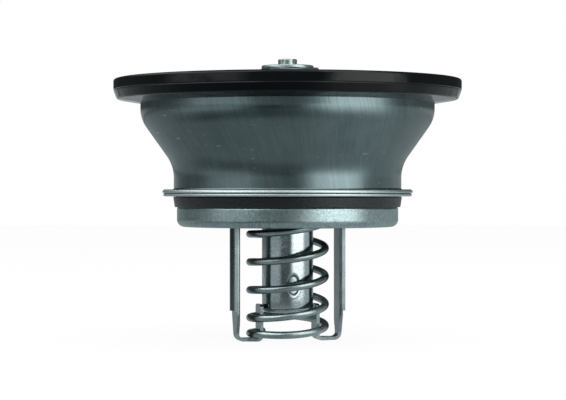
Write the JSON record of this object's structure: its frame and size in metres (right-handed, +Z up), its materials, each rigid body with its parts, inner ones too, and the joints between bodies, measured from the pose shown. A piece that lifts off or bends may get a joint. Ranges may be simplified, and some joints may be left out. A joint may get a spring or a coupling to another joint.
{
  "type": "engine thermostat",
  "caption": "Wax engine thermostat with its own flared sheet bowl, rubber rim ring, flanged spigot, strap cage, coil spring and sliding valve.",
  "frame": {"origin": "on the common axis, level with the soles of the cage's feet", "axes": "+Z up the axis from the feet to the bowl's rim; -Y is the side that the picture shows"},
  "size_m": [0.11, 0.11, 0.089],
  "materials": {
    "drawn_steel": "drawn, satin",
    "gloss_rubber": "moulded, glossy",
    "dull_rubber": "matt",
    "bright_steel": "turned, bright",
    "strap_steel": "pressed, satin",
    "spring_wire": "drawn wire, bright",
    "element_metal": "polished",
    "element_brass": "turned",
    "wax": "cast wax with metal powder",
    "white_plastic": "turned"
  },
  "bodies": {
    "housing": {"bowl": "drawn_steel", "rim_seal": "gloss_rubber", "spigot_cup": "drawn_steel", "spigot_seal": "dull_rubber", "seat_ring": "drawn_steel", "bridge": "drawn_steel", "bridge_rivets": "bright_steel", "piston": "bright_steel", "cap_washer": "bright_steel", "spring_cage": "strap_steel", "spring": "spring_wire"},
    "valve": {"element_case": "element_metal", "wax_charge": "wax", "rubber_sleeve": "dull_rubber", "backup_washer": "white_plastic", "element_guide": "element_brass", "guide_wiper": "dull_rubber", "spring_plate": "strap_steel", "valve_disc": "strap_steel", "valve_seal": "dull_rubber", "retaining_ring": "bright_steel"}
  },
  "joints": [
    {"name": "valve_lift", "type": "slide", "parent": "housing", "child": "valve", "axis": [0, 0, -1], "range_m": [0, 0.0085], "stiffness_N_per_m": 4400, "springref_m": -0.015, "deforming": ["spring"]}
  ]
}
